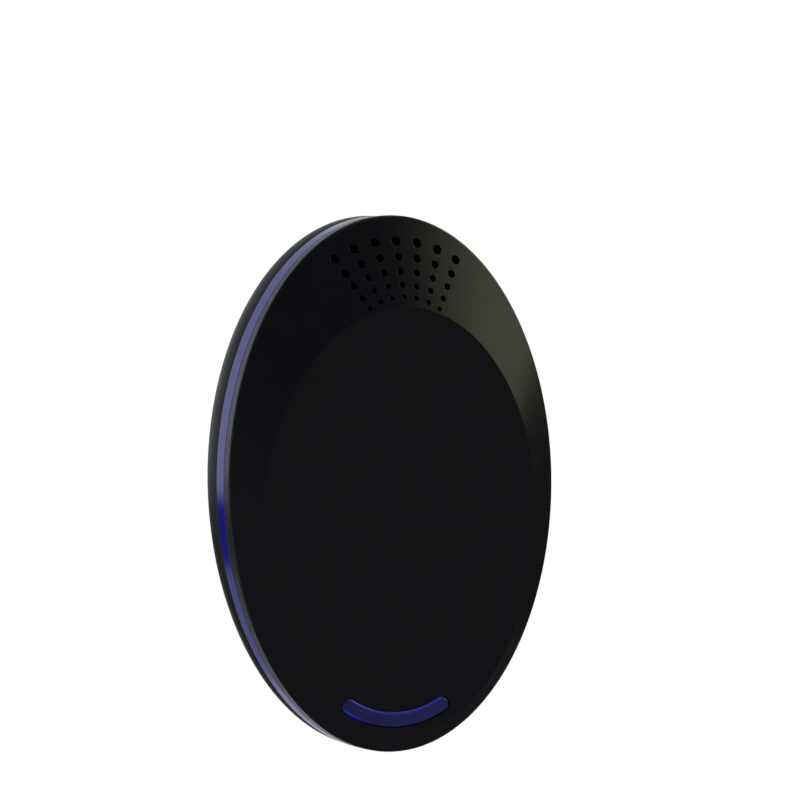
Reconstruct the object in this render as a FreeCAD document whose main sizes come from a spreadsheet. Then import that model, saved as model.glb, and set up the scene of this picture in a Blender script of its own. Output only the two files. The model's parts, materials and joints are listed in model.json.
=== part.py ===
import FreeCAD, Part
import os
import re
from math import pi, radians, tan

import Sketcher
from FreeCAD import Vector

# Plug-in ultrasonic pest repeller: an oval case on a two-pin mains plug.
# Row frame, in millimetres: +Z is up along the oval, -Y is the front face that looks into the room and
# +Y goes into the wall socket. The origin is midway between the two pins, on the face that they leave.
# Most pieces are laid out in the case frame, whose origin is the middle of the oval rim's plane.

SIZES = {
    # the oval outline and the front shell
    "half_width": 35.2,
    "half_height": 55.0,
    "rim_rise": 0.2,
    "rim_round": 0.8,
    "side_depth": 2.9,
    "wall": 2.0,
    "face_half_width": 29.75,
    "face_half_height": 44.3,
    "face_drop": 8.1,
    "face_rise": 5.55,
    "face_tilt": 4.25,
    "face_round": 0.5,
    # the sound holes, a fan of rows that get finer towards the face
    "fan_centre": 25.2,
    "fan_radius": 24.45,
    "fan_pitch": 3.25,
    "fan_pitch_step": 0.25,
    "fan_angle": 10.75,
    "fan_angle_step": 0.25,
    "hole_dia": 1.9,
    "hole_shrink": 0.86,
    # the light ring between the two shells
    "ring_depth": 5.1,
    "ring_wall": 3.0,
    "ring_slant": 0.95,
    "ring_edge": 0.3,
    "part_line": 0.1,
    "groove": 0.7,
    # the rear shell, a wedge that is deepest at the top
    "rear_inset": 0.9,
    "belly_depth": 12.5,
    "belly_tilt": 2.5,
    "belly_drop": -0.2,
    "haunch_depth": 16.1,
    "haunch_tilt": 3.6,
    "haunch_drop": 0.3,
    "haunch_inset": 0.85,
    "heel_depth": 18.0,
    "heel_tilt": 4.2,
    "heel_drop": 0.6,
    "heel_inset": 2.7,
    "back_depth": 18.7,
    "back_tilt": 4.5,
    "back_drop": 0.9,
    "back_inset": 5.6,
    "lip_front": 5.0,
    "lip_wall": 1.2,
    "lip_gap": 0.15,
    # where the case stands from the plug
    "rim_to_plug": 40.0,
    "case_drop": 5.0,
    # the curved lens low on the face
    "lens_radius": 18.6,
    "lens_width": 3.15,
    "lens_angle": 32.5,
    "lens_centre": 21.6,
    "lens_proud": 0.35,
    "lens_gap": 0.15,
    "lens_foot": 0.6,
    "lens_foot_thick": 0.8,
    "shroud_bore": 4.0,
    "shroud_wall": 0.8,
    "shroud_depth": 1.6,
    # the plug: two 4 mm pins, 19 mm apart and 19 mm long, sleeved for 10 mm
    "pin_spacing": 19.0,
    "pin_dia": 4.0,
    "pin_length": 19.0,
    "pin_core_dia": 2.6,
    "pin_tail": 3.4,
    "sleeve_dia": 3.4,
    "sleeve_length": 10.0,
    "sleeve_root": 3.0,
    "boss_width": 35.3,
    "boss_height": 13.7,
    "block_width": 38.4,
    "block_height": 16.4,
    "block_depth": 5.5,
    "turret_width": 43.0,
    "turret_height": 21.0,
    "turret_depth": 21.5,
    "turret_floor": 2.0,
    "plug_gap": 0.2,
    "retainer_width": 57.0,
    "retainer_height": 11.0,
    "retainer_thick": 1.6,
    "retainer_screw": 25.0,
    # case screws and their bosses
    "screw_side": 20.0,
    "screw_upper": 20.0,
    "screw_lower": -32.0,
    "boss_dia": 7.0,
    "boss_end": 5.0,
    "tube_dia": 8.4,
    "counterbore_dia": 6.4,
    "counterbore_floor": 9.0,
    "screw_clearance": 3.4,
    "screw_pilot": 3.0,
    "pilot_reach": 1.2,
    "screw_shank": 2.9,
    "screw_head": 5.6,
    "screw_length": 10.0,
    # the circuit board
    "board_width": 32.0,
    "board_top": -9.0,
    "board_bottom": -49.0,
    "board_corner": 12.0,
    "board_front": 3.0,
    "board_thick": 1.6,
    "board_screw_side": 13.0,
    "board_screw_upper": -13.0,
    "board_screw_lower": -37.0,
    "small_post_dia": 5.2,
    "small_pilot": 2.2,
    "small_shank": 2.1,
    "small_head": 4.2,
    "small_length": 5.0,
    # the ultrasonic speaker
    "speaker_height": 36.0,
    "speaker_front": 1.0,
    "speaker_dia": 26.0,
    "speaker_depth": 8.0,
    "speaker_post_side": 18.0,
    "screen_thick": 0.4,
    "lead_dia": 1.5,
    # the blank rating plate on the back
    "plate_width": 26.0,
    "plate_height": 16.0,
    "plate_thick": 0.2,
    "plate_drop": 26.0,
    "plate_gap": 0.3,
    "plate_corner": 1.0,
}

doc = FreeCAD.newDocument("pest_repeller")
sheet = doc.addObject("Spreadsheet::Sheet", "Sizes")
nodes = []

ALONG_Y = "rotationx(-90)"
OVAL = "rotation(vector(1; 1; 1); -120)"
CASE = "placement(vector(0; -rim_to_plug; -case_drop); rotationx(0))"
FACE = "placement(vector(0; -face_rise; 0); rotationx(face_tilt))"
BACK = "placement(vector(0; back_depth; 0); rotationx(-back_tilt))"
BOARD_REAR = "board_front + board_thick"
RING_FRONT = "side_depth + part_line"
RING_REAR = f"{RING_FRONT} + ring_depth"
SEAM = f"{RING_REAR} + groove"
STRAP_FRONT = "speaker_front + speaker_depth"
BOSS_LENGTH = "(rim_to_plug - turret_depth + turret_floor)"
PLUG_START = "turret_depth - turret_floor - block_depth"
PIN_BACK = f"({PLUG_START} - pin_tail - rim_to_plug)"


# ---------------------------------------------------------------- helpers

def fill_sheet():
    for row, (alias, number) in enumerate(SIZES.items(), 1):
        sheet.set(f"A{row}", alias)
        sheet.set(f"B{row}", str(number))
        sheet.setAlias(f"B{row}", alias)
    doc.recompute()


def cells(text):
    """Point every size name in an expression at its cell in the sheet."""
    return re.sub(r"[a-z]\w*", lambda m: f"Sizes.{m[0]}" if m[0] in SIZES else m[0], str(text))


def number(text):
    """Work out an expression of the sheet's sizes, for a first guess or a hand-built shape."""
    return float(sheet.evalExpression(cells(text)))


def bind(item, **expressions):
    for prop, text in expressions.items():
        item.setExpression(prop, cells(text))
    return item


def at(x, y, z, turn="rotationx(0)"):
    return f"placement(vector({x}; {y}; {z}); {turn})"


def primitive(kind, name, place, **sizes):
    item = doc.addObject(f"Part::{kind}", name)
    return bind(item, Placement=place, **sizes)


def rod(name, dia, length, x, y, z):
    """A cylinder along +Y that starts at x, y, z of the case frame."""
    return primitive("Cylinder", name, at(x, y, z, ALONG_Y), Radius=f"({dia}) / 2", Height=length)


def oval(name, half_width, half_height, place):
    return primitive("Ellipse", name, f"{place} * {at(0, 0, 0, OVAL)}",
                     MajorRadius=half_height, MinorRadius=half_width)


def loft(name, sections, ruled=True):
    item = doc.addObject("Part::Loft", name)
    item.Sections = sections
    item.Solid = True
    item.Ruled = ruled
    return item


def cut(name, base, tool):
    item = doc.addObject("Part::Cut", name)
    item.Base = base
    item.Tool = tool
    return item


def common(name, base, tool):
    item = doc.addObject("Part::Common", name)
    item.Base = base
    item.Tool = tool
    return item


def fuse(name, *shapes):
    item = doc.addObject("Part::MultiFuse", name)
    item.Shapes = list(shapes)
    return item


def fillet(name, base, chosen, radius):
    """Round the edges of base that the test chooses, by a radius read from the sheet."""
    doc.recompute()
    edges = [i for i, edge in enumerate(base.Shape.Edges, 1) if chosen(edge)]
    if not edges:
        raise ValueError(f"{name} found no edge to round")
    item = doc.addObject("Part::Fillet", name)
    item.Base = base
    item.Edges = [(i, number(radius), number(radius)) for i in edges]
    return item


def node(item, label, place=None):
    """Keep an object as a sub-part: its label names its file."""
    item.Label = label
    if place:
        bind(item, Placement=place)
    nodes.append(item)
    return item


def plane_of(body, role):
    return next(plane for plane in body.Origin.OriginFeatures if plane.Role == role)


def new_body(name):
    return doc.addObject("PartDesign::Body", name)


def new_sketch(body, name, plane="XZ_Plane", offset=None):
    sketch = body.newObject("Sketcher::SketchObject", name)
    sketch.AttachmentSupport = [(plane_of(body, plane), "")]
    sketch.MapMode = "FlatFace"
    if offset:
        sketch.setExpression("AttachmentOffset.Base.z", cells(offset))
    return sketch


def pin_point(sketch, geometry, point, x, y):
    """Hold one point of a sketch at x, y, both of them expressions of the sheet's sizes."""
    for kind, text in (("DistanceX", x), ("DistanceY", y)):
        index = sketch.addConstraint(Sketcher.Constraint(kind, geometry, point, number(text)))
        sketch.setExpression(f"Constraints[{index}]", cells(text))


def pin_across(sketch, geometry, point, x):
    """Hold only the sideways place of a point, where its height already follows from the rest."""
    index = sketch.addConstraint(Sketcher.Constraint("DistanceX", geometry, point, number(x)))
    sketch.setExpression(f"Constraints[{index}]", cells(x))


def draw_outline(sketch, corners):
    """A closed outline of straight lines; each corner is a pair of expressions."""
    points = [Vector(number(x), number(y), 0) for x, y in corners]
    following = points[1:] + points[:1]
    lines = [sketch.addGeometry(Part.LineSegment(a, b), False) for a, b in zip(points, following)]
    for line, after in zip(lines, lines[1:] + lines[:1]):
        sketch.addConstraint(Sketcher.Constraint("Coincident", line, 2, after, 1))
    for line, (x, y) in zip(lines, corners):
        pin_point(sketch, line, 1, x, y)


def draw_rectangle(sketch, width, height, x="0", y="0"):
    left, right = f"{x} - ({width}) / 2", f"{x} + ({width}) / 2"
    low, high = f"{y} - ({height}) / 2", f"{y} + ({height}) / 2"
    draw_outline(sketch, [(left, low), (right, low), (right, high), (left, high)])


def draw_circle(sketch, dia, x="0", y="0"):
    circle = Part.Circle(Vector(number(x), number(y), 0), Vector(0, 0, 1), number(dia) / 2)
    index = sketch.addGeometry(circle, False)
    pin_point(sketch, index, 3, x, y)
    diameter = sketch.addConstraint(Sketcher.Constraint("Diameter", index, number(dia)))
    sketch.setExpression(f"Constraints[{diameter}]", cells(dia))


def draw_obround(sketch, width, height):
    """A flat-sided oval: two straight sides closed by two half circles."""
    reach, radius = f"(({width}) - ({height})) / 2", f"({height}) / 2"
    flat, round_end = number(reach), number(radius)
    lines = []
    for y, height_text in ((round_end, radius), (-round_end, f"-({radius})")):
        line = sketch.addGeometry(Part.LineSegment(Vector(-flat, y, 0), Vector(flat, y, 0)), False)
        pin_point(sketch, line, 1, f"-({reach})", height_text)
        pin_point(sketch, line, 2, reach, height_text)
        lines.append(line)
    top, low = lines
    right_end = (flat, reach, -90, (top, 2, 2), (low, 2, 1))
    left_end = (-flat, f"-({reach})", 90, (top, 1, 1), (low, 1, 2))
    for x, x_text, start, *joins in (right_end, left_end):
        circle = Part.Circle(Vector(x, 0, 0), Vector(0, 0, 1), round_end)
        arc = sketch.addGeometry(Part.ArcOfCircle(circle, radians(start), radians(start + 180)), False)
        for line, line_end, arc_end in joins:
            sketch.addConstraint(Sketcher.Constraint("Coincident", line, line_end, arc, arc_end))
        pin_across(sketch, arc, 3, x_text)


def draw_smile(sketch, width):
    """The lens outline: a band of the given width along an arc, hanging below its centre."""
    middle, half = "lens_radius", f"({width}) / 2"
    spread = number("lens_angle")
    arcs = []
    for radius in (f"{middle} + {half}", f"{middle} - {half}"):
        circle = Part.Circle(Vector(0, 0, 0), Vector(0, 0, 1), number(radius))
        arc = Part.ArcOfCircle(circle, radians(270 - spread), radians(270 + spread))
        index = sketch.addGeometry(arc, False)
        pin_point(sketch, index, 1, f"-({radius}) * sin(lens_angle)", f"-({radius}) * cos(lens_angle)")
        pin_point(sketch, index, 2, f"({radius}) * sin(lens_angle)", f"-({radius}) * cos(lens_angle)")
        sketch.addConstraint(Sketcher.Constraint("PointOnObject", index, 3, -1))
        arcs.append(index)
    outer, inner = arcs
    for side, outer_end in ((-1, 1), (1, 2)):
        x, y = f"{side} * {middle} * sin(lens_angle)", f"-{middle} * cos(lens_angle)"
        circle = Part.Circle(Vector(number(x), number(y), 0), Vector(0, 0, 1), number(half))
        start = 270 + side * spread - (180 if side < 0 else 0)
        cap = sketch.addGeometry(Part.ArcOfCircle(circle, radians(start), radians(start + 180)), False)
        outer_point, inner_point = (2, 1) if side < 0 else (1, 2)
        sketch.addConstraint(Sketcher.Constraint("Coincident", cap, outer_point, outer, outer_end))
        sketch.addConstraint(Sketcher.Constraint("Coincident", cap, inner_point, inner, outer_end))
        pin_across(sketch, cap, 3, x)


def pad(body, sketch, length, towards_wall=True):
    feature = body.newObject("PartDesign::Pad", f"{sketch.Name}_pad")
    feature.Profile = sketch
    feature.Reversed = towards_wall
    bind(feature, Length=length)
    doc.recompute()
    return feature


def pocket(body, sketch, length, reverse=False):
    """Cut a sketch into its body, and make sure that the cut took something away."""
    before = body.Shape.Volume
    feature = body.newObject("PartDesign::Pocket", f"{sketch.Name}_pocket")
    feature.Profile = sketch
    feature.Reversed = reverse
    bind(feature, Length=length)
    doc.recompute()
    if body.Shape.Volume >= before:
        raise ValueError(f"{sketch.Name} cut nothing")
    return feature


def soften(body, chosen, radius, name="soft_edges"):
    """Round the edges of the body's solid that the test chooses."""
    doc.recompute()
    edges = [f"Edge{i}" for i, edge in enumerate(body.Shape.Edges, 1) if chosen(edge)]
    if not edges:
        raise ValueError(f"{body.Name} has no such edge")
    base = body.Tip
    feature = body.newObject("PartDesign::Fillet", f"{body.Name}_{name}")
    feature.Base = (base, edges)
    bind(feature, Radius=radius)
    doc.recompute()
    return feature


def turned(name, profile):
    """A lathe-turned piece: its half profile, radius then height, goes round the body's Z axis."""
    body = new_body(name)
    sketch = new_sketch(body, f"{name}_profile")
    draw_outline(sketch, profile)
    feature = body.newObject("PartDesign::Revolution", f"{name}_turn")
    feature.Profile = sketch
    feature.ReferenceAxis = (sketch, ["V_Axis"])
    feature.Angle = 360
    doc.recompute()
    return body


def block(name, width, height, depth, round_by=None):
    """A moulded block that stands on the body's XY plane, with rounded upright edges."""
    body = new_body(name)
    sketch = new_sketch(body, f"{name}_outline", "XY_Plane")
    draw_rectangle(sketch, width, height)
    pad(body, sketch, depth, towards_wall=False)
    if round_by:
        soften(body, is_upright, round_by)
    return body


def group(label, source, places):
    """Copies of one piece, held together as one node of separate solids."""
    links = []
    for index, place in enumerate(places, 1):
        link = doc.addObject("App::Link", f"{label}_{index}")
        link.LinkedObject = source
        link.LinkTransform = False
        bind(link, Placement=f"{CASE} * {place}")
        links.append(link)
    bundle = doc.addObject("Part::Compound", label)
    bundle.Links = links
    return node(bundle, label)


def is_upright(edge):
    box = edge.BoundBox
    return box.ZLength > 0.5 and box.XLength < 1e-3 and box.YLength < 1e-3


def lies_at(axis, place, tolerance=0.01):
    """A test for edges that lie in one plane across the given axis."""
    def test(edge):
        box = edge.BoundBox
        low, high = getattr(box, f"{axis}Min"), getattr(box, f"{axis}Max")
        return abs(low - place) < tolerance and abs(high - place) < tolerance
    return test


# ---------------------------------------------------------------- case

def dome(name, inset, rear):
    """The front shell's form, drawn in by inset: a straight side wall, then a flank that slopes from the
    rim up to the raised and tilted face."""
    half_width, half_height = f"half_width - ({inset})", f"half_height - ({inset})"
    return loft(name, [
        oval(f"{name}_base", half_width, half_height, at(0, rear, 0)),
        oval(f"{name}_rim", half_width, half_height, at(0, f"-rim_rise + 0.4 * ({inset})", 0)),
        oval(f"{name}_face", f"face_half_width - 0.8 * ({inset})", f"face_half_height - 0.8 * ({inset})",
             f"{FACE} * {at(0, inset, '-face_drop')}"),
    ])


def sound_holes():
    """Five arcs of seven holes about one centre, drilled straight back through the upper flank."""
    drills = []
    for row in range(5):
        radius = f"(fan_radius - {row} * fan_pitch + {row * (row - 1) / 2} * fan_pitch_step)"
        dia = f"hole_dia * hole_shrink ^ {row}"
        angle = f"(fan_angle + {row} * fan_angle_step)"
        for column in range(-3, 4):
            x = f"{radius} * sin({column} * {angle})"
            z = f"fan_centre + {radius} * cos({column} * {angle})"
            drills.append(rod(f"drill_{row}_{column + 3}", dia, "20", x, -14, z))
    bundle = doc.addObject("Part::Compound", "sound_holes")
    bundle.Links = drills
    return bundle


def screw_places():
    heights = ("screw_upper", "screw_lower")
    return [(f"{side} * screw_side", height) for side in (-1, 1) for height in heights]


def board_screw_places():
    heights = ("board_screw_upper", "board_screw_lower")
    return [(f"{side} * board_screw_side", height) for side in (-1, 1) for height in heights]


def speaker_post_places():
    return [(f"{side} * speaker_post_side", "speaker_height") for side in (-1, 1)]


def smile_body(name, width, depth):
    """A lens-shaped block, from the face plane back by depth."""
    body = new_body(name)
    sketch = new_sketch(body, f"{name}_outline")
    draw_smile(sketch, width)
    pad(body, sketch, depth)
    return body


def front_shell():
    outer = dome("front_outer", "0", "side_depth")
    rounded_rim = fillet("front_rim_round", outer, lies_at("Y", -number("rim_rise")), "rim_round")

    def is_face_edge(edge):
        """The oval edge of the face is the shortest of the long edges."""
        return number("5 * face_half_height") < edge.Length < number("5 * half_height")

    rounded = fillet("front_face_round", rounded_rim, is_face_edge, "face_round")
    hollow = cut("front_hollow", rounded, dome("front_cavity", "wall", "side_depth + 1"))
    slot_tool = smile_body("lens_slot", "lens_width + 2 * lens_gap", "wall + 4")
    bind(slot_tool, Placement=f"{FACE} * {at(0, -2, '-face_drop - lens_centre')}")
    pierced = cut("front_pierced", cut("front_slotted", hollow, slot_tool), sound_holes())
    posts, drills = [], []
    front = "-face_rise - 3"
    drill_start = "-pilot_reach"
    for index, (x, z) in enumerate(screw_places()):
        posts.append(rod(f"front_boss_{index}", "boss_dia", f"boss_end - ({front})", x, front, z))
        depth = "boss_end + pilot_reach + 1"
        drills.append(rod(f"front_pilot_{index}", "screw_pilot", depth, x, drill_start, z))
    for index, (x, z) in enumerate(board_screw_places()):
        posts.append(rod(f"board_post_{index}", "small_post_dia", f"board_front - ({front})", x, front, z))
        depth = "board_front + pilot_reach + 1"
        drills.append(rod(f"board_pilot_{index}", "small_pilot", depth, x, drill_start, z))
    behind = STRAP_FRONT
    for index, (x, z) in enumerate(speaker_post_places()):
        posts.append(rod(f"speaker_post_{index}", "small_post_dia", f"{behind} - ({front})", x, front, z))
        drills.append(rod(f"speaker_pilot_{index}", "small_pilot", "8", x, f"{behind} - 6", z))
    trimmed = common("front_posts", fuse("front_posts_long", *posts), dome("post_limit", "wall / 2", "20"))
    shell = cut("front_shell", fuse("front_with_posts", pierced, trimmed), fuse("front_pilots", *drills))
    return node(shell, "front_shell", CASE)


def light_ring():
    """A translucent band that shows between the two shells, a little deeper at the top."""
    rings = []
    for name, inset, overshoot in (("ring_outer", "0", 0), ("ring_bore", "ring_wall", 1)):
        widths = f"half_width - ({inset})", f"half_height - ({inset})"
        front = oval(f"{name}_front", *widths, at(0, f"{RING_FRONT} - {overshoot}", 0))
        rear_place = at(0, f"{RING_REAR} + {overshoot}", 0, "rotationx(-ring_slant)")
        rear = oval(f"{name}_rear", *widths, rear_place)
        rings.append(loft(name, [front, rear]))
    outer, bore = rings
    softened = fillet("ring_softened", outer, lambda edge: edge.BoundBox.XLength > 60, "ring_edge")
    return node(cut("light_ring", softened, bore), "light_ring", CASE)


def rear_form(name, inset, seam_inset):
    """The rear shell's bowl, drawn in by inset: it swells behind the ring, then rounds in to a back
    plane that is deepest at the top."""
    stations = [
        (SEAM, "ring_slant", "0", seam_inset),
        ("belly_depth", "belly_tilt", "belly_drop", inset),
        (f"haunch_depth - 0.5 * ({inset})", "haunch_tilt", "haunch_drop", f"haunch_inset + 0.9 * ({inset})"),
        (f"heel_depth - 0.8 * ({inset})", "heel_tilt", "heel_drop", f"heel_inset + 0.7 * ({inset})"),
        (f"back_depth - ({inset})", "back_tilt", "back_drop", f"back_inset + 0.6 * ({inset})"),
    ]
    return loft(name, [
        oval(f"{name}_{index}", f"half_width - ({draw})", f"half_height - ({draw})",
             f"placement(vector(0; {depth}; 0); rotationx(-{tilt})) * {at(0, 0, f'-{drop}')}")
        for index, (depth, tilt, drop, draw) in enumerate(stations)
    ], ruled=False)


def obround_rod(name, width, height, start, length):
    """An obround block along +Y in the case frame, centred on the plug."""
    body = new_body(name)
    sketch = new_sketch(body, f"{name}_outline")
    draw_obround(sketch, width, height)
    pad(body, sketch, length)
    return bind(body, Placement=at(0, start, "case_drop"))


def lip_form(name, inset, front, rear):
    """The collar that locates the rear shell inside the ring, drawn in from the oval by inset."""
    widths = f"half_width - ({inset})", f"half_height - ({inset})"
    return loft(name, [
        oval(f"{name}_front", *widths, at(0, front, 0)),
        oval(f"{name}_rear", *widths, at(0, rear, 0, "rotationx(-ring_slant)")),
    ])


def rear_shell():
    outer = rear_form("rear_outer", "0", "rear_inset")
    lip = lip_form("rear_lip", "ring_wall + lip_gap", "lip_front", f"{SEAM} + 0.5")
    lip_bore = lip_form("rear_lip_bore", "ring_wall + lip_gap + lip_wall", "lip_front - 1", f"{SEAM} + 2.5")
    turret = obround_rod("turret", "turret_width", "turret_height",
                         "back_depth - wall", "turret_depth - back_depth + wall")
    tubes, drills = [], []
    for index, (x, z) in enumerate(screw_places()):
        reach = f"back_depth - 1 + ({z}) * tan(back_tilt) - boss_end - part_line"
        tubes.append(rod(f"rear_tube_{index}", "tube_dia", reach, x, "boss_end + part_line", z))
        for kind, dia, start in (("bore", "screw_clearance", "boss_end - 1"),
                                 ("counterbore", "counterbore_dia", "counterbore_floor")):
            drills.append(rod(f"rear_{kind}_{index}", dia, "back_depth", x, start, z))
    posts = []
    for index, side in enumerate((-1, 1)):
        x = f"{side} * retainer_screw"
        posts.append(rod(f"plug_post_{index}", "small_post_dia", "4", x, PLUG_START, "case_drop"))
        drill_start = f"{PLUG_START} - 0.5"
        drills.append(rod(f"plug_pilot_{index}", "small_pilot", "4.1", x, drill_start, "case_drop"))
    opening = obround_rod("plug_opening", "boss_width + 2 * plug_gap", "boss_height + 2 * plug_gap",
                          "back_depth - wall", "10")
    seat = obround_rod("plug_seat", "block_width + 2 * plug_gap", "block_height + 2 * plug_gap",
                       "back_depth - 6", "turret_depth - turret_floor - back_depth + 6")
    recess_corner = at("-plate_width / 2 - plate_gap", "-plate_thick - 0.1",
                       "-plate_drop - plate_height / 2 - plate_gap")
    plate_recess = primitive("Box", "plate_recess", f"{BACK} * {recess_corner}",
                             Length="plate_width + 2 * plate_gap", Width="2",
                             Height="plate_height + 2 * plate_gap")
    cavity = rear_form("rear_cavity", "wall", "ring_wall + 2 * lip_wall / 3")
    solid = fuse("rear_solid", outer, lip, turret)
    hollow = cut("rear_hollow", solid, fuse("rear_hollows", cavity, lip_bore))
    fitted = fuse("rear_fitted", hollow, *tubes, *posts)
    shell = cut("rear_shell", fitted, fuse("rear_cuts", *drills, opening, seat, plate_recess))
    return node(shell, "rear_shell", CASE)


def rating_plate():
    """A blank plate in its shallow recess, under the plug."""
    corner = at("-plate_width / 2", "-plate_thick", "-plate_drop - plate_height / 2")
    plate = primitive("Box", "plate_blank", corner,
                      Length="plate_width", Width="plate_thick", Height="plate_height")
    rounded = fillet("rating_plate", plate, lambda edge: edge.Length < 1, "plate_corner")
    return node(rounded, "rating_plate", f"{CASE} * {BACK}")


# ---------------------------------------------------------------- screws

def screw(name, shank, head, length):
    """A cross-head screw with a tapered point; its head stands above the body's XY plane."""
    profile = [
        ("0", f"-({length})"), (f"({shank}) / 2 - 0.4", f"-({length}) + 0.6"),
        (f"({shank}) / 2", f"-({length}) + 2"), (f"({shank}) / 2", "0"), (f"({head}) / 2", "0"),
        (f"({head}) / 2", f"({head}) / 4"), (f"({head}) / 2 - 0.5", f"({head}) / 3"),
        ("0", f"({head}) / 2.8"),
    ]
    body = turned(name, profile)
    slot_length, slot_width = f"({head}) / 2", f"({head}) / 8"
    for index, sides in enumerate(((slot_length, slot_width), (slot_width, slot_length))):
        sketch = new_sketch(body, f"{name}_cross_{index}", "XY_Plane", f"({head}) / 6")
        draw_rectangle(sketch, *sides)
        pocket(body, sketch, "5", reverse=True)
    return body


def screws():
    case_screw = screw("case_screw", "screw_shank", "screw_head", "screw_length")
    small_screw = screw("small_screw", "small_shank", "small_head", "small_length")
    group("case_screws", case_screw, [at(x, "counterbore_floor", z, ALONG_Y) for x, z in screw_places()])
    group("board_screws", small_screw, [at(x, BOARD_REAR, z, ALONG_Y) for x, z in board_screw_places()])
    strap_back = f"{STRAP_FRONT} + retainer_thick"
    group("speaker_screws", small_screw, [at(x, strap_back, z, ALONG_Y) for x, z in speaker_post_places()])
    retainer_front = f"{PLUG_START} - retainer_thick"
    group("plug_screws", small_screw,
          [at(f"{side} * retainer_screw", retainer_front, "case_drop", "rotationx(90)") for side in (-1, 1)])


# ---------------------------------------------------------------- lens and lights

def arc_lens():
    """A curved window, slightly proud of the face, on a wider foot inside the shell."""
    body = smile_body("arc_lens", "lens_width", "wall + lens_proud")
    soften(body, lies_at("Y", 0), "lens_proud + 0.3")
    foot = new_sketch(body, "lens_foot_outline", "XZ_Plane", "-(wall + lens_proud)")
    draw_smile(foot, "lens_width + 2 * lens_foot")
    pad(body, foot, "lens_foot_thick")
    return node(body, "arc_lens", f"{CASE} * {FACE} * {at(0, '-lens_proud', '-face_drop - lens_centre')}")


def light_shroud():
    """A dark tunnel that keeps the lens's light off the rest of the case."""
    body = smile_body("light_shroud", "shroud_bore + 2 * shroud_wall", "shroud_depth")
    bore = new_sketch(body, "shroud_inside")
    draw_smile(bore, "shroud_bore")
    pocket(body, bore, "shroud_depth + 1")
    start = "wall + lens_foot_thick + 0.1"
    return node(body, "light_shroud", f"{CASE} * {FACE} * {at(0, start, '-face_drop - lens_centre')}")


def leds():
    """Round LEDs: two stand behind the lens, four lie flat and aim at the ring."""
    profile = [
        ("0", "0"), ("1.5", "0"), ("1.5", "0.6"), ("1.25", "0.6"),
        ("1.25", "1.4"), ("0.9", "1.85"), ("0", "2"),
    ]
    led = turned("led", profile)
    group("lens_leds", led, [at(f"{side} * 7.5", "board_front", -46.2, "rotationx(90)") for side in (-1, 1)])
    group("ring_leds", led, [
        at(f"{side} * 12.5", "board_front - 1.9", height, f"rotationy({side} * 90)")
        for side in (-1, 1) for height in (-21, -28)
    ])


# ---------------------------------------------------------------- plug

def plug_base():
    """The insulating plug body: a block seated in the turret and a boss that reaches into the socket."""
    body = new_body("plug_base")
    block_outline = new_sketch(body, "block_outline")
    draw_obround(block_outline, "block_width", "block_height")
    pad(body, block_outline, "block_depth")
    boss_outline = new_sketch(body, "boss_outline", "XZ_Plane", "-block_depth")
    draw_obround(boss_outline, "boss_width", "boss_height")
    pad(body, boss_outline, BOSS_LENGTH)
    soften(body, lies_at("Y", number(f"block_depth + {BOSS_LENGTH}")), "1")
    cores = new_sketch(body, "core_bores")
    for side in (-1, 1):
        draw_circle(cores, "pin_core_dia + 0.04", f"{side} * pin_spacing / 2")
    pocket(body, cores, "60")
    roots = new_sketch(body, "sleeve_roots", "XZ_Plane", f"-(block_depth + {BOSS_LENGTH})")
    for side in (-1, 1):
        draw_circle(roots, "sleeve_dia + 0.04", f"{side} * pin_spacing / 2")
    pocket(body, roots, "sleeve_root", reverse=True)
    return node(body, "plug_base", f"{CASE} * {at(0, PLUG_START, 'case_drop')}")


def plug_pins():
    """Turned brass pins with a thin core in the sleeve, each with a terminal tag on its tail."""
    core, bare = "pin_core_dia / 2", "pin_dia / 2"
    profile = [
        ("0", PIN_BACK), (core, PIN_BACK), (core, "sleeve_length"), (bare, "sleeve_length"),
        (bare, "pin_length - 1"), (f"{bare} - 0.35", "pin_length - 0.3"),
        (f"{bare} - 1", "pin_length"), ("0", "pin_length"),
    ]
    sleeve_profile = [
        (f"{core} + 0.02", "-sleeve_root"), ("sleeve_dia / 2", "-sleeve_root"),
        ("sleeve_dia / 2", "sleeve_length - 0.02"), (f"{core} + 0.02", "sleeve_length - 0.02"),
    ]
    for name, side in (("left", -1), ("right", 1)):
        place = at(f"{side} * pin_spacing / 2", 0, 0, ALONG_Y)
        node(turned(f"plug_pin_{name}", profile), f"plug_pin_{name}", place)
        node(turned(f"pin_sleeve_{name}", sleeve_profile), f"pin_sleeve_{name}", place)
    tag = new_body("terminal_tag")
    outline = new_sketch(tag, "tag_outline")
    draw_obround(outline, "9", "4.6")
    pad(tag, outline, "0.6")
    bore = new_sketch(tag, "tag_bore")
    draw_circle(bore, "pin_core_dia + 0.1", "2.2")
    draw_circle(bore, "1.4", "-2.8")
    pocket(tag, bore, "2")
    tag_place = f"{PLUG_START} - retainer_thick - 1"
    group("terminal_tags", tag, [
        f"{at(f'{side} * pin_spacing / 2', tag_place, 'case_drop', 'rotationy(-90)')} * {at('-2.2', 0, 0)}"
        for side in (-1, 1)
    ])


def plug_retainer():
    """A flat plate, screwed to two posts, that holds the plug base in its turret."""
    body = new_body("plug_retainer")
    outline = new_sketch(body, "retainer_outline")
    draw_obround(outline, "retainer_width", "retainer_height")
    pad(body, outline, "retainer_thick")
    bores = new_sketch(body, "retainer_bores")
    for side in (-1, 1):
        draw_circle(bores, "5", f"{side} * pin_spacing / 2")
        draw_circle(bores, "small_shank + 0.4", f"{side} * retainer_screw")
    pocket(body, bores, "5")
    return node(body, "plug_retainer", f"{CASE} * {at(0, f'{PLUG_START} - retainer_thick', 'case_drop')}")


# ---------------------------------------------------------------- circuit board

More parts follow.
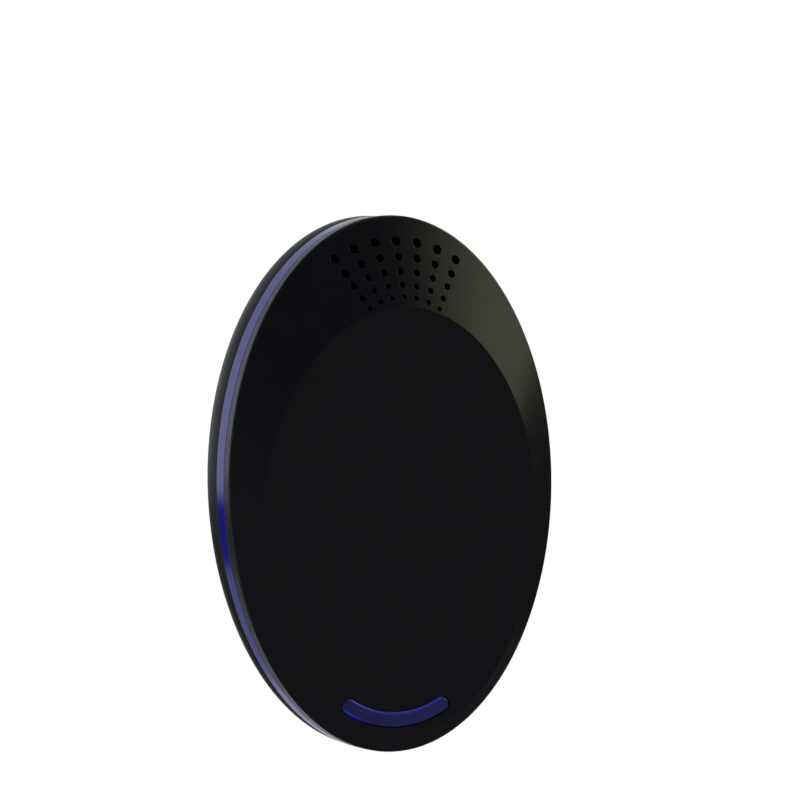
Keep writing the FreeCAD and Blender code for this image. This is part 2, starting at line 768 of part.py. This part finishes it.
def on_board(x, z, turn="rotationz(0)", lift=0):
    """A place on the rear of the board, where a piece's own height points towards the wall."""
    return at(x, f"{BOARD_REAR} + {lift}", z, f"{ALONG_Y} * {turn}")


def main_board():
    body = new_body("main_board")
    outline = new_sketch(body, "board_outline")
    draw_rectangle(outline, "board_width", "board_top - board_bottom", "0", "(board_top + board_bottom) / 2")
    pad(body, outline, "board_thick")

    def is_lower_corner(edge):
        box = edge.BoundBox
        return box.YLength > 1 and box.ZLength < 0.01 and box.ZMax < number("board_bottom") + 1

    soften(body, is_lower_corner, "board_corner")
    bores = new_sketch(body, "board_bores")
    for x, z in board_screw_places():
        draw_circle(bores, "small_shank + 0.4", x, z)
    pocket(body, bores, "5")
    return node(body, "main_board", f"{CASE} * {at(0, 'board_front', 0)}")


def axial(name, dia, length, lead):
    """An axial part that lies on the board: a barrel with a straight wire out of each end."""
    half, wire_end = f"{length} / 2", f"{length} / 2 + 1.6"
    radius, wire = f"{dia} / 2", f"{lead} / 2"
    return turned(name, [
        ("0", f"-({wire_end})"), (wire, f"-({wire_end})"), (wire, f"-{half}"),
        (f"{radius} - 0.3", f"-{half}"), (radius, f"-{half} + 0.5"),
        (radius, f"{half} - 0.5"), (f"{radius} - 0.3", half),
        (wire, half), (wire, wire_end), ("0", wire_end),
    ])


def can(name, dia, height):
    """An electrolytic capacitor: a can with a crimped neck near its base."""
    radius = f"{dia} / 2"
    return turned(name, [
        ("0", "0"), (f"{radius} - 0.3", "0"), (radius, "0.3"), (radius, "1"), (f"{radius} - 0.35", "1.4"),
        (radius, "1.8"), (radius, f"{height} - 0.4"), (f"{radius} - 0.4", height), ("0", height),
    ])


def power_parts():
    """What drops and smooths the mains: the film capacitor, fusible resistor, diodes and reservoir."""
    film = block("film_capacitor", "13", "5", "8.5", "0.6")
    node(film, "film_capacitor", f"{CASE} * {on_board(-7.5, -18.5, lift=0.2)}")
    fuse_resistor = axial("fusible_resistor", "3.2", "8", "0.7")
    node(fuse_resistor, "fusible_resistor", f"{CASE} * {on_board(4.5, -13, 'rotationy(90)', 1.8)}")
    diode = axial("diode", "2.6", "4.6", "0.7")
    group("rectifier_diodes", diode, [
        on_board(x, -21, "rotationx(90)", 1.5) for x in (2.5, 6, 9.5, 13)
    ])
    group("zener_diode", diode, [on_board(-4.2, -27.5, "rotationx(90)", 1.5)])
    for name, dia, height, x, z in (("reservoir_capacitor", 8, 8.5, -11.3, -28),
                                    ("timing_capacitor", 4, 5.4, -13.3, -43)):
        node(can(name, dia, height), name, f"{CASE} * {on_board(x, z, lift=0.1)}")


def step_up_coil():
    """The drum coil that drives the speaker: ferrite core, copper winding and moulded base."""
    core = turned("coil_core", [
        ("0", "1"), ("4.6", "1"), ("4.6", "2.2"), ("2", "2.2"),
        ("2", "6.6"), ("4.6", "6.6"), ("4.6", "7.8"), ("0", "7.8"),
    ])
    winding = turned("coil_winding", [("2.03", "2.25"), ("4.1", "2.25"), ("4.1", "6.55"), ("2.03", "6.55")])
    base = turned("coil_base", [("0", "0"), ("5", "0"), ("5", "0.98"), ("0", "0.98")])
    for piece, label in ((core, "coil_core"), (winding, "coil_winding"), (base, "coil_base")):
        node(piece, label, f"{CASE} * {on_board(3, -32, lift=0.05)}")


def control_parts():
    """The oscillator that sweeps the tone: chip, transistors, resistors and ceramic capacitors."""
    chip = block("control_chip", "9.4", "6.4", "3.2", "0.3")
    node(chip, "control_chip", f"{CASE} * {on_board(-5.5, -38.2, lift=0.5)}")
    leg = block("chip_leg", "0.5", "0.25", "3")
    group("chip_legs", leg, [
        on_board(f"-5.5 + {(index - 1.5) * 2.54}", f"-38.2 + {side} * 3.55", lift=0.1)
        for side in (-1, 1) for index in range(4)
    ])
    transistor = new_body("transistor")
    outline = new_sketch(transistor, "transistor_outline", "XY_Plane")
    circle = Part.Circle(Vector(0, 0, 0), Vector(0, 0, 1), 2.3)
    draw_round_with_flat(outline, circle, 35)
    pad(transistor, outline, "4.6", towards_wall=False)
    group("driver_transistors", transistor, [on_board(12, z, "rotationz(90)", 1.6) for z in (-27.5, -33.5)])
    resistor = axial("resistor", "2.2", "5.8", "0.5")
    group("resistors", resistor, [on_board(x, -42.3, "rotationx(90)", 1.3) for x in (2.2, 5.4, 8.6)])
    ceramic = turned("ceramic", [
        ("0", "-1"), ("1.6", "-0.9"), ("2.4", "-0.4"), ("2.4", "0.4"), ("1.6", "0.9"), ("0", "1"),
    ])
    group("ceramic_capacitors", ceramic, [on_board(x, -44.6, "rotationy(90)", 2.8) for x in (-9.5, -2.5)])


def draw_round_with_flat(sketch, circle, flat_angle):
    """A round outline closed by a flat chord, as on a small transistor."""
    start, end = radians(-90 + flat_angle), radians(270 - flat_angle)
    arc = sketch.addGeometry(Part.ArcOfCircle(circle, start, end), False)
    first, last = circle.value(start), circle.value(end)
    chord = sketch.addGeometry(Part.LineSegment(last, first), False)
    sketch.addConstraint(Sketcher.Constraint("Coincident", arc, 2, chord, 1))
    sketch.addConstraint(Sketcher.Constraint("Coincident", arc, 1, chord, 2))
    sketch.addConstraint(Sketcher.Constraint("Radius", arc, circle.Radius))
    sketch.addConstraint(Sketcher.Constraint("Coincident", arc, 3, -1, 1))
    sketch.addConstraint(Sketcher.Constraint("Horizontal", chord))


# ---------------------------------------------------------------- speaker

def speaker():
    """A piezo tweeter: cup, cone, driver disc, foam gasket and a strap that holds it to two posts."""
    radius, depth = "speaker_dia / 2", "speaker_depth"
    place = f"{CASE} * {at(0, 'speaker_front', 'speaker_height', ALONG_Y)}"
    cup = turned("speaker_cup", [
        (f"{radius} - 3", "0.8"), (radius, "0.8"), (radius, "2.3"), (f"{radius} - 1.2", "3"),
        (f"{radius} - 1.2", depth), ("3", depth), ("3", f"{depth} - 1.2"),
        (f"{radius} - 2.6", f"{depth} - 1.2"), (f"{radius} - 2.6", "2.3"), (f"{radius} - 3", "2.3"),
    ])
    cone = turned("speaker_cone", [
        ("1.2", "5.6"), (f"{radius} - 3.2", "1.6"), (f"{radius} - 3.2", "1.85"), ("1.2", "5.85"),
    ])
    disc = turned("piezo_disc", [("0", "5.95"), ("7.5", "5.95"), ("7.5", "6.3"), ("0", "6.3")])
    gasket = turned("speaker_gasket", [
        (f"{radius} - 2.6", "0.02"), (f"{radius} - 0.2", "0.02"),
        (f"{radius} - 0.2", "0.78"), (f"{radius} - 2.6", "0.78"),
    ])
    for piece in (cup, cone, disc, gasket):
        node(piece, piece.Name, place)
    screen = turned("dust_screen", [
        ("0", "0"), (f"{radius} - 0.6", "0"), (f"{radius} - 0.6", "screen_thick"), ("0", "screen_thick"),
    ])
    screen_place = at(0, "speaker_front - screen_thick", "speaker_height", ALONG_Y)
    node(screen, "dust_screen", f"{CASE} * {screen_place}")
    strap = new_body("speaker_strap")
    outline = new_sketch(strap, "strap_outline")
    draw_obround(outline, "2 * speaker_post_side + 5.6", "5.6")
    pad(strap, outline, "retainer_thick")
    bores = new_sketch(strap, "strap_bores")
    for side in (-1, 1):
        draw_circle(bores, "small_shank + 0.4", f"{side} * speaker_post_side")
    pocket(strap, bores, "5")
    node(strap, "speaker_strap", f"{CASE} * {at(0, STRAP_FRONT, 'speaker_height')}")


# ---------------------------------------------------------------- wiring

def lead(label, route):
    """An insulated wire: straight runs joined by tangent arcs, as wide as its runs allow."""
    points = [Vector(*point) for point in route]
    edges, start = [], points[0]
    for before, corner, after in zip(points, points[1:], points[2:]):
        back, ahead = (before - corner).normalize(), (after - corner).normalize()
        turn = pi - back.getAngle(ahead)
        reach = 0.45 * min((before - corner).Length, (after - corner).Length)
        radius = reach / tan(turn / 2)
        first, last = corner + back * reach, corner + ahead * reach
        inward = (back + ahead).normalize()
        offset = (radius ** 2 + reach ** 2) ** 0.5 - radius
        edges.append(Part.LineSegment(start, first).toShape())
        edges.append(Part.Arc(first, corner + inward * offset, last).toShape())
        start = last
    edges.append(Part.LineSegment(start, points[-1]).toShape())
    spine = Part.Wire(edges)
    heading = points[1] - points[0]
    radius = number("lead_dia") / 2
    section = Part.Wire(Part.makeCircle(radius, points[0], heading))
    item = doc.addObject("Part::Feature", label)
    item.Shape = spine.makePipeShell([section], True, True)
    expected = pi * radius ** 2 * spine.Length
    if abs(item.Shape.Volume / expected - 1) > 0.01:
        raise ValueError(f"{label} swept to the wrong volume")
    return node(item, label, CASE)


def leads():
    """Mains leads from the pins to the board, and speaker leads from the driver to the board."""
    for name, side in (("left", -1), ("right", 1)):
        lead(f"mains_lead_{name}", [
            (side * 9.5, 10.3, 0.6), (side * 9.6, 10.2, -4.2),
            (side * 10.6, 8.2, -8.2), (side * 11.4, 5.6, -8.9),
        ])
    for name, side in (("left", -1), ("right", 1)):
        lead(f"speaker_lead_{name}", [
            (side * 2.2, 9.9, 32.4), (side * 2.5, 9.9, 26.0), (side * 3.6, 8.8, 17.0),
            (side * 4.2, 7.4, 8.0), (side * 4.4, 6.6, -2.0), (side * 4.2, 5.6, -7.6),
        ])


# ---------------------------------------------------------------- build

def check_and_export():
    doc.recompute()
    for item in doc.Objects:
        if {"Invalid", "Error"} & set(item.State):
            raise ValueError(f"{item.Label} failed: {item.State}")
    for item in nodes:
        if item.Shape.isNull() or not item.Shape.isValid():
            raise ValueError(f"{item.Label} has no valid shape")
    os.makedirs("parts", exist_ok=True)
    for item in nodes:
        item.Shape.exportStep(f"parts/{item.Label}.step")
        box = item.Shape.BoundBox
        print(f"{item.Label}: {len(item.Shape.Solids)} solids, {item.Shape.Volume:.1f} mm3, "
              f"{box.XLength:.1f} x {box.YLength:.1f} x {box.ZLength:.1f}")


fill_sheet()
front_shell()
light_ring()
rear_shell()
rating_plate()
arc_lens()
light_shroud()
leds()
plug_base()
plug_pins()
plug_retainer()
main_board()
power_parts()
step_up_coil()
control_parts()
speaker()
screws()
leads()
check_and_export()
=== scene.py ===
import json
import math

import bpy
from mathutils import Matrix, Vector


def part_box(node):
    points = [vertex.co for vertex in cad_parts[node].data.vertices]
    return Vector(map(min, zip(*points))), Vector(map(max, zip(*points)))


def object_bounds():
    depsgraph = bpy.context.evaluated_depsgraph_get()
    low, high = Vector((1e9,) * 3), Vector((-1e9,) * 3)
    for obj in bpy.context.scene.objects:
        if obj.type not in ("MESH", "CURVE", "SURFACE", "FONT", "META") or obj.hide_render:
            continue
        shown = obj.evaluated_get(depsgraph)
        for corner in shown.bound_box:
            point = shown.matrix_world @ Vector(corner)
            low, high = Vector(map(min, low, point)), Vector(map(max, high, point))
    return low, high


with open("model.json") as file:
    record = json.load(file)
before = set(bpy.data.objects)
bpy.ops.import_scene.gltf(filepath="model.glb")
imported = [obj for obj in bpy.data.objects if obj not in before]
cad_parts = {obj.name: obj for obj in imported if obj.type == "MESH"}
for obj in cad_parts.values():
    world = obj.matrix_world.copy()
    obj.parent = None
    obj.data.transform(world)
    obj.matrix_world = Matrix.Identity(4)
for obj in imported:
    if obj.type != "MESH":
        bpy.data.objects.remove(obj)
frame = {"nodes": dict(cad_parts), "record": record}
CAD_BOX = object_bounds()
MM = 0.001


# ---------------------------------------------------------------- node helper

class Nodes:
    """Short calls for the nodes of one material or world."""

    def __init__(self, tree):
        self.tree = tree

    def feed(self, socket, value):
        """Link a node's output to a socket, or set the socket to a number or a colour of three."""
        if isinstance(value, bpy.types.NodeSocket):
            self.tree.links.new(value, socket)
        elif socket.type == "RGBA":
            socket.default_value = (*value, 1)
        else:
            socket.default_value = value

    def node(self, kind, **inputs):
        node = self.tree.nodes.new(f"ShaderNode{kind}")
        for socket, value in inputs.items():
            self.feed(node.inputs[socket.replace("_", " ")], value)
        return node

    def maths(self, operation, *values):
        node = self.node("Math")
        node.operation = operation
        for socket, value in zip(node.inputs, values):
            self.feed(socket, value)
        return node.outputs["Value"]

    def product(self, first, *others):
        for value in others:
            first = self.maths("MULTIPLY", first, value)
        return first

    def greatest(self, first, *others):
        for value in others:
            first = self.maths("MAXIMUM", first, value)
        return first

    def ramp(self, value, start, end, low=0.0, high=1.0, shape="LINEAR"):
        """Go from low to high while value goes from start to end, and hold outside."""
        node = self.node("MapRange", Value=value, From_Min=start, From_Max=end, To_Min=low, To_Max=high)
        node.interpolation_type = shape
        return node.outputs["Result"]

    def step(self, value, start, end, low=0.0, high=1.0):
        """A ramp with eased ends."""
        return self.ramp(value, start, end, low, high, "SMOOTHSTEP")

    def blend_colours(self, factor, first, second):
        node = self.node("Mix")
        node.data_type = "RGBA"
        factor_socket, first_socket, second_socket = node.inputs["Factor"], node.inputs[6], node.inputs[7]
        for socket, value in ((factor_socket, factor), (first_socket, first), (second_socket, second)):
            self.feed(socket, value)
        return node.outputs[2]


# ---------------------------------------------------------------- camera and floor

VIEW_TURN = math.radians(20)       # from straight in front, the camera goes round towards -X by this angle
VIEW_RISE = math.radians(1.8)      # and looks down by this one
CAMERA_DISTANCE = 1.0
FRAME_HEIGHT = 0.1639              # what the square frame spans at the object's distance
CASE_BELOW = 0.01715               # the case sits below the middle of the frame by this much
CASE_LEFT = 0.00165                # and left of it by this much
RIM_TO_RING = 3.0 * MM
FLOOR_DROP = 0.26
FLOOR_REACH = 2.0


def rim_centre():
    """The middle of the front shell's oval rim, a little in front of the light ring."""
    low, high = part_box("light_ring")
    return Vector(((low.x + high.x) / 2, low.y - RIM_TO_RING, (low.z + high.z) / 2))


def add_camera():
    data = bpy.data.cameras.new("camera")
    data.sensor_width = 36
    data.lens = data.sensor_width * CAMERA_DISTANCE / FRAME_HEIGHT
    camera = bpy.data.objects.new("camera", data)
    bpy.context.scene.collection.objects.link(camera)
    ahead = Vector((math.sin(VIEW_TURN) * math.cos(VIEW_RISE),
                    math.cos(VIEW_TURN) * math.cos(VIEW_RISE), -math.sin(VIEW_RISE)))
    right = Vector((math.cos(VIEW_TURN), -math.sin(VIEW_TURN), 0))
    upright = right.cross(ahead)
    centre = rim_centre()
    camera.location = centre - ahead * CAMERA_DISTANCE
    target = centre + right * CASE_LEFT + upright * CASE_BELOW
    camera.rotation_euler = (target - camera.location).to_track_quat("-Z", "Y").to_euler()
    bpy.context.scene.camera = camera


def add_floor(material):
    """A wide pale floor well below the object. Glossy rays pass it, and see the studio instead."""
    height = CAD_BOX[0][2] - FLOOR_DROP
    corners = [(x * FLOOR_REACH, y * FLOOR_REACH, height) for x, y in ((-1, -1), (1, -1), (1, 1), (-1, 1))]
    mesh = bpy.data.meshes.new("floor")
    mesh.from_pydata(corners, [], [(0, 1, 2, 3)])
    mesh.materials.append(material)
    floor = bpy.data.objects.new("floor", mesh)
    floor.visible_glossy = False
    bpy.context.scene.collection.objects.link(floor)


# ---------------------------------------------------------------- light

# Directions are given by three numbers from -1 to 1: across to the right, away beyond the object, and up.
# A pair gives where a change starts and where it ends.
KEY_START = (-0.60, 0.20)          # the key light's near edge, as away + across / 2
KEY_TOP = (0.60, 0.85)
LEFT_HORIZON = -0.05               # the key light's lower edge on the left
RIGHT_HORIZON = 0.20               # and on the right
HORIZON_TURN = (-0.3, 0.3)
EDGE_SOFTNESS = 0.02
TOP_PANEL = (0.88, 0.96)
BACK_PANEL_AWAY = (0.62, 0.85)
BACK_PANEL_ACROSS = (-0.12, 0.05)
LEFT_PANEL_ACROSS = (-0.68, -0.80)
LEFT_PANEL_AWAY = (-0.05, 0.20)
PANEL_BOTTOM = (-0.50, -0.35)
PANEL_LEVEL = 0.9
GLOW_TOP = -0.165                  # a faint glow low down beyond the object
GLOW_AWAY = (0.80, 0.90)
GLOW_LEVEL = 0.30
DARK_LOW = 0.13                    # the unlit studio's level below the horizon
DARK_HIGH = 0.03                   # and above it
DARK_RISE = (-0.10, 0.25)
DARK_BEYOND = 0.25                 # what is left of that level beyond the object
BEYOND_AWAY = (-0.3, 0.1)
BEYOND_UP = (-0.40, -0.25)
COOL_LOW = (0.66, 0.67, 0.74)
COOL_HIGH = (0.44, 0.45, 0.48)
COOL_RISE = (0.05, 0.35)
WARM_SIDE = (1.33, 1.38, 0.88)
WARM_START = (0.1, 0.6)
WHITE = (1.0, 1.0, 1.0)


def studio_colour(nodes):
    """What glossy rays see in each direction: a dark studio with a key light and three panels."""
    direction = nodes.node("SeparateXYZ", Vector=nodes.node("TexCoord").outputs["Generated"])
    across, away, up = direction.outputs

    round_to_right = nodes.maths("ADD", away, nodes.product(across, 0.5))
    horizon = nodes.step(across, *HORIZON_TURN, LEFT_HORIZON, RIGHT_HORIZON)
    above = nodes.step(nodes.maths("SUBTRACT", up, horizon), -EDGE_SOFTNESS, EDGE_SOFTNESS)
    key = nodes.product(nodes.step(round_to_right, *KEY_START), above, nodes.step(up, *KEY_TOP, 1.0, 0.0))

    back_panel = nodes.product(nodes.step(away, *BACK_PANEL_AWAY), nodes.step(across, *BACK_PANEL_ACROSS))
    left_panel = nodes.product(nodes.step(across, *LEFT_PANEL_ACROSS), nodes.step(away, *LEFT_PANEL_AWAY))
    panel_level = nodes.product(nodes.step(up, *PANEL_BOTTOM), PANEL_LEVEL)
    panels = nodes.product(nodes.greatest(back_panel, left_panel), panel_level)
    lit = nodes.greatest(key, nodes.step(up, *TOP_PANEL), panels)

    below = nodes.step(nodes.maths("SUBTRACT", up, GLOW_TOP), EDGE_SOFTNESS, -EDGE_SOFTNESS)
    glow = nodes.product(below, nodes.step(away, *GLOW_AWAY), GLOW_LEVEL)
    beyond = nodes.product(nodes.step(away, *BEYOND_AWAY), nodes.step(up, *BEYOND_UP))
    dark = nodes.step(up, *DARK_RISE, DARK_LOW, DARK_HIGH)
    unlit = nodes.greatest(nodes.product(dark, nodes.step(beyond, 0, 1, 1, DARK_BEYOND)), glow)
    grey = nodes.node("CombineColor", Red=unlit, Green=unlit, Blue=unlit).outputs["Color"]

    cool = nodes.blend_colours(nodes.step(up, *COOL_RISE), COOL_LOW, COOL_HIGH)
    warmth = nodes.product(nodes.step(across, *WARM_START), above)
    return nodes.blend_colours(lit, grey, nodes.blend_colours(warmth, cool, WARM_SIDE))


def set_world():
    """A white room all round, with the studio only in reflections, as black plastic needs."""
    world = bpy.data.worlds.new("studio")
    world.use_nodes = True
    world.cycles.sampling_method = "NONE"
    nodes = Nodes(world.node_tree)
    glossy = nodes.node("LightPath").outputs["Is Glossy Ray"]
    colour = nodes.blend_colours(glossy, WHITE, studio_colour(nodes))
    nodes.feed(world.node_tree.nodes["Background"].inputs["Color"], colour)
    bpy.context.scene.world = world
    bpy.context.scene.view_settings.view_transform = "Standard"


# ---------------------------------------------------------------- materials

SHELL_EDGE = 0.2 * MM
LENS_EDGE = 0.15 * MM
LENS_RADIUS = 18.6 * MM            # of the line along its middle
LENS_WIDTH = 3.15 * MM
LENS_PAINTED_HIGHLIGHT = 0.28 * MM               # painted highlight: the bright line along the lens's upper edge
PAINTED_GLOW_DEPTH = (1.0 * MM, 0.2 * MM)  # the lens's painted glow, standing in for LED light, grows between these distances from its lower edge
PAINTED_GLOW_END = (2.5 * MM, 7.5 * MM)    # and the painted glow fades between these from its left end
NOISE_SPAN = (0.3, 0.7)            # where most of a noise texture's values lie


class Finish(Nodes):
    """A Principled material with short calls for what varies it."""

    def __init__(self, name, **sockets):
        self.material = bpy.data.materials.new(name)
        self.material.use_nodes = True
        super().__init__(self.material.node_tree)
        self.shader = self.tree.nodes["Principled BSDF"]
        for socket, value in sockets.items():
            self.feed(self.shader.inputs[socket.replace("_", " ")], value)
        self.place = self.node("TexCoord").outputs["Object"]    # metres, in the piece's own frame

    def noise(self, size, detail=2.0, roughness=0.5, stretch=None):
        """Noise whose features are about size metres wide."""
        place = self.place
        if stretch:
            place = self.node("Mapping", Vector=place, Scale=stretch).outputs["Vector"]
        node = self.node("TexNoise", Vector=place, Scale=1 / size, Detail=detail, Roughness=roughness)
        return node.outputs["Fac"]

    def mottle(self, noise, first, second):
        """Let the colour wander between two."""
        self.feed(self.shader.inputs["Base Color"], self.blend_colours(noise, first, second))

    def roughness(self, noise, low, high):
        """Let the roughness wander between two values."""
        self.feed(self.shader.inputs["Roughness"], self.ramp(noise, *NOISE_SPAN, low, high))

    def soften_edges(self, radius):
        """Shade the edges as if they were rounded, so that they catch the light."""
        self.feed(self.shader.inputs["Normal"], self.node("Bevel", Radius=radius).outputs["Normal"])

    def bump(self, height, depth, strength=1.0):
        """Relief: height runs from 0 to 1 and stands for depth metres."""
        normal = self.shader.inputs["Normal"]
        node = self.node("Bump", Height=height, Distance=depth, Strength=strength)
        if normal.is_linked:
            self.feed(node.inputs["Normal"], normal.links[0].from_socket)
        self.feed(normal, node.outputs["Normal"])


def shade(colour, factor):
    return tuple(channel * factor for channel in colour)


def textured_black(name, colour, roughness, grain, depth):
    """Spark-textured satin black plastic: fine pebble grain, a little uneven in its shine."""
    finish = Finish(name, Specular_IOR_Level=0.3)
    finish.soften_edges(SHELL_EDGE)
    finish.mottle(finish.noise(14 * MM, detail=3), shade(colour, 0.85), shade(colour, 1.15))
    finish.roughness(finish.noise(5 * MM, detail=4), roughness - 0.04, roughness + 0.04)
    finish.bump(finish.noise(grain, detail=3, roughness=0.6), depth)
    finish.bump(finish.noise(3 * MM, detail=2), 0.01 * MM, 0.4)
    return finish.material


def shell_black():
    return textured_black("shell_black", (0.0034, 0.0030, 0.0056), 0.28, 0.22 * MM, 0.010 * MM)


def shell_rear():
    return textured_black("shell_rear", (0.0035, 0.0035, 0.0045), 0.36, 0.28 * MM, 0.014 * MM)


def plug_black():
    return textured_black("plug_black", (0.007, 0.007, 0.008), 0.38, 0.30 * MM, 0.012 * MM)


def ring_blue():
    """Glossy translucent blue of the light ring."""
    finish = Finish("ring_blue", Roughness=0.10, Specular_IOR_Level=0.32, Subsurface_Weight=0.25,
                    Subsurface_Radius=(0.4, 0.35, 1.0), Subsurface_Scale=2 * MM)
    finish.mottle(finish.noise(12 * MM, detail=2), (0.006, 0.004, 0.14), (0.010, 0.007, 0.18))
    finish.bump(finish.noise(2 * MM, detail=2), 0.006 * MM, 0.5)
    return finish.material


def lens_blue():
    """Clear blue lens, with a painted highlight along its upper edge and a painted glow, standing in for
    LED light, along its lower edge at the left end.
    """
    finish = Finish("lens_blue", Roughness=0.12, Specular_IOR_Level=0.5)
    finish.soften_edges(LENS_EDGE)
    low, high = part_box("arc_lens")
    centre = ((low.x + high.x) / 2, 0, low.z + LENS_RADIUS + LENS_WIDTH / 2)
    flat = finish.node("VectorMath")
    flat.operation = "MULTIPLY"
    reach = finish.node("VectorMath")
    reach.operation = "DISTANCE"
    for node, vectors in ((flat, (finish.place, (1, 0, 1))), (reach, (flat.outputs["Vector"], centre))):
        for socket, vector in zip(node.inputs, vectors):
            finish.feed(socket, vector)
    radius = reach.outputs["Value"]
    across = finish.node("SeparateXYZ", Vector=finish.place).outputs["X"]
    upper_edge = LENS_RADIUS - LENS_WIDTH / 2
    lower_edge = LENS_RADIUS + LENS_WIDTH / 2
    # painted highlight: a brighter blue band just inside the lens's upper edge, standing in for light
    # caught by that edge
    painted_highlight = finish.ramp(radius, upper_edge, upper_edge + LENS_PAINTED_HIGHLIGHT, 1, 0)
    # painted glow: the lens turns bright blue near its lower edge at the left end, standing in for an
    # LED's light, though the lens is no lamp
    painted_glow_low = finish.ramp(radius, lower_edge - PAINTED_GLOW_DEPTH[0], lower_edge - PAINTED_GLOW_DEPTH[1])
    painted_glow_left = finish.ramp(across, low.x + PAINTED_GLOW_END[0], low.x + PAINTED_GLOW_END[1], 1, 0)
    body = finish.blend_colours(finish.noise(5 * MM), (0.008, 0.007, 0.048), (0.012, 0.011, 0.072))
    body_with_painted_highlight = finish.blend_colours(painted_highlight, body, (0.020, 0.022, 0.24))
    # the base colour carries the painted highlight and the painted glow
    finish.mottle(finish.product(painted_glow_low, painted_glow_left), body_with_painted_highlight, (0.004, 0.045, 0.62))
    finish.bump(finish.noise(2.5 * MM, detail=1), 0.006 * MM, 0.4)
    return finish.material


def pin_metal():
    """Nickel-plated pins with faint marks from turning."""
    finish = Finish("pin_metal", Metallic=1.0)
    lines = finish.noise(0.35 * MM, detail=4, stretch=(0.2, 6, 0.2))
    finish.mottle(lines, (0.62, 0.60, 0.56), (0.78, 0.76, 0.72))
    finish.roughness(lines, 0.16, 0.34)
    finish.bump(lines, 0.004 * MM)
    return finish.material


def speckled(name, light, dark, roughness, size=1.2 * MM, depth=0.01 * MM, **sockets):
    """A moulded or coated small part: mottled colour, uneven shine and a faint skin texture."""
    finish = Finish(name, **sockets)
    finish.mottle(finish.noise(size, detail=4), dark, light)
    finish.roughness(finish.noise(size * 0.6, detail=3), roughness * 0.8, roughness * 1.2)
    finish.bump(finish.noise(size * 0.3, detail=3), depth)
    return finish.material


# light colour, dark colour and roughness of the small parts
SMALL_PARTS = {
    "plate_grey": ((0.42, 0.43, 0.45), (0.34, 0.35, 0.37), 0.42),
    "dark_plastic": ((0.022, 0.022, 0.024), (0.012, 0.012, 0.013), 0.45),
    "sleeve_black": ((0.012, 0.012, 0.013), (0.007, 0.007, 0.008), 0.34),
    "led_clear": ((0.55, 0.62, 0.85), (0.42, 0.50, 0.78), 0.12),
    "board_green": ((0.03, 0.17, 0.06), (0.015, 0.11, 0.035), 0.30),
    "film_yellow": ((0.72, 0.50, 0.06), (0.60, 0.40, 0.04), 0.32),
    "resistor_green": ((0.20, 0.34, 0.27), (0.14, 0.26, 0.20), 0.55),
    "diode_black": ((0.020, 0.020, 0.021), (0.010, 0.010, 0.011), 0.42),
    "glass_red": ((0.48, 0.13, 0.05), (0.30, 0.07, 0.02), 0.14),
    "can_black": ((0.020, 0.022, 0.035), (0.010, 0.011, 0.020), 0.26),
    "ferrite": ((0.055, 0.054, 0.053), (0.030, 0.030, 0.030), 0.62),
    "resistor_tan": ((0.60, 0.47, 0.30), (0.48, 0.36, 0.22), 0.40),
    "ceramic_tan": ((0.62, 0.34, 0.12), (0.48, 0.25, 0.08), 0.36),
    "foam_black": ((0.020, 0.020, 0.021), (0.008, 0.008, 0.008), 0.90),
    "mesh_black": ((0.016, 0.016, 0.017), (0.006, 0.006, 0.006), 0.85),
    "lead_brown": ((0.16, 0.065, 0.03), (0.11, 0.045, 0.02), 0.40),
    "lead_blue": ((0.03, 0.09, 0.38), (0.02, 0.06, 0.28), 0.40),
    "lead_black": ((0.020, 0.020, 0.020), (0.011, 0.011, 0.011), 0.42),
    "lead_red": ((0.42, 0.025, 0.02), (0.30, 0.015, 0.012), 0.40),
}

METAL_PARTS = {
    "brass_tag": ((0.74, 0.55, 0.25), (0.58, 0.41, 0.17), 0.30),
    "copper_wire": ((0.62, 0.27, 0.11), (0.45, 0.17, 0.06), 0.34),
    "tinned_steel": ((0.62, 0.62, 0.62), (0.48, 0.48, 0.49), 0.30),
    "cone_foil": ((0.66, 0.66, 0.68), (0.52, 0.52, 0.54), 0.28),
    "screw_zinc": ((0.50, 0.50, 0.47), (0.36, 0.36, 0.35), 0.34),
}


def make_materials():
    """One material for each of the record's slots."""
    finishes = {
        "shell_black": shell_black(),
        "shell_rear": shell_rear(),
        "plug_black": plug_black(),
        "ring_blue": ring_blue(),
        "lens_blue": lens_blue(),
        "pin_metal": pin_metal(),
    }
    for slot, (light, dark, roughness) in SMALL_PARTS.items():
        finishes[slot] = speckled(slot, light, dark, roughness)
    for slot, (light, dark, roughness) in METAL_PARTS.items():
        finishes[slot] = speckled(slot, light, dark, roughness, size=0.6 * MM, Metallic=1.0)
    return finishes


def dress_nodes(finishes):
    for part in frame["record"]["subparts"]:
        mesh = frame["nodes"][part["node"]].data
        mesh.materials.clear()
        mesh.materials.append(finishes[part["material_slot"]])


# ---------------------------------------------------------------- build

FLOOR_LIGHT = (1.0, 1.0, 1.0)
FLOOR_DARK = (0.997, 0.997, 0.997)


set_world()
dress_nodes(make_materials())
add_floor(speckled("floor_paint", FLOOR_LIGHT, FLOOR_DARK, 0.7, size=50 * MM))
add_camera()
